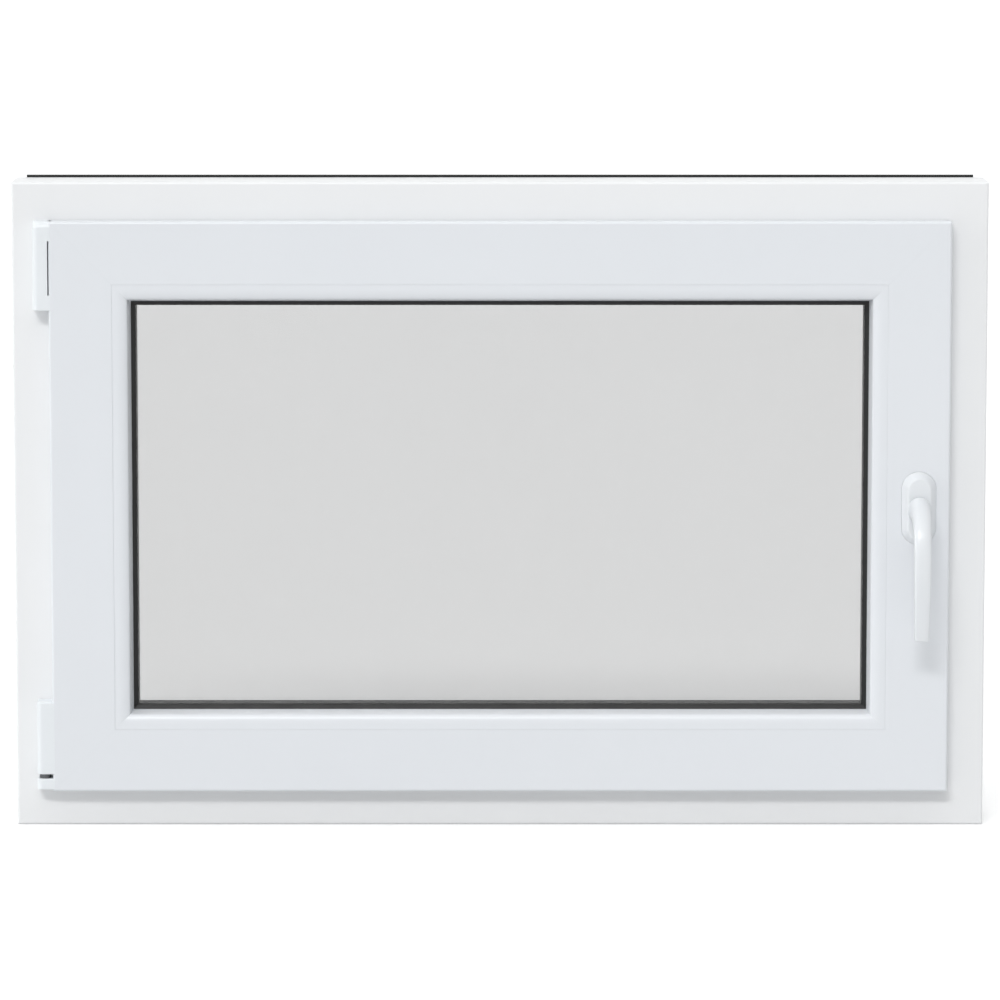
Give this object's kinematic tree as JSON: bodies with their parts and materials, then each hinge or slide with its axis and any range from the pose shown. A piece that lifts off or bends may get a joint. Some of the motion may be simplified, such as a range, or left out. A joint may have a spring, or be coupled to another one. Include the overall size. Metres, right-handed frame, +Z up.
{
  "type": "basement window",
  "caption": "White PVC basement window, closed: fixed frame, tilt and turn sash with double glazing, hinges at left and a turning lever handle at right.",
  "frame": {"origin": "centre of the sill's underside: half the frame's width and half the frame's depth", "axes": "+Z up, +X to the right seen from the room, +Y out towards the weather side"},
  "size_m": [0.9, 0.1532, 0.6024],
  "materials": {
    "white_pvc": "smooth satin white extruded PVC",
    "white_cap_plastic": "smooth satin white moulded plastic",
    "black_gasket": "matt black",
    "clear_glass": "clear float glass",
    "black_spacer": "matt black warm edge",
    "zinc_steel": "dull zinc plate",
    "white_lacquer": "smooth satin white powder coat"
  },
  "bodies": {
    "window": {"bead_bottom": "white_pvc", "bead_left": "white_pvc", "bead_right": "white_pvc", "bead_top": "white_pvc", "corner_band": "zinc_steel", "corner_band_cover": "white_cap_plastic", "corner_bearing": "zinc_steel", "corner_bearing_cap": "white_cap_plastic", "corner_pin": "zinc_steel", "drain_cap_left": "white_cap_plastic", "drain_cap_right": "white_cap_plastic", "frame_gasket": "black_gasket", "frame_head": "white_pvc", "frame_jamb_left": "white_pvc", "frame_jamb_right": "white_pvc", "frame_sill": "white_pvc", "glass_spacer": "black_spacer", "glazing_gasket_inner": "black_gasket", "glazing_gasket_outer": "black_gasket", "handle_rose": "white_lacquer", "head_seal": "black_gasket", "pane_inner": "clear_glass", "pane_outer": "clear_glass", "sash_bottom_rail": "white_pvc", "sash_gasket": "black_gasket", "sash_handle_stile": "white_pvc", "sash_hinge_stile": "white_pvc", "sash_top_rail": "white_pvc", "stay_arm": "zinc_steel", "stay_bearing": "zinc_steel", "stay_cover": "white_cap_plastic", "stay_pin": "zinc_steel"},
    "handle": {"handle_lever": "white_lacquer", "handle_spindle": "zinc_steel"}
  },
  "joints": [
    {"name": "handle_turn", "type": "hinge", "parent": "window", "child": "handle", "pos_m": [0.3865, -0.06, 0.3], "axis": [0, 1, 0], "range_deg": [0, 180]}
  ]
}
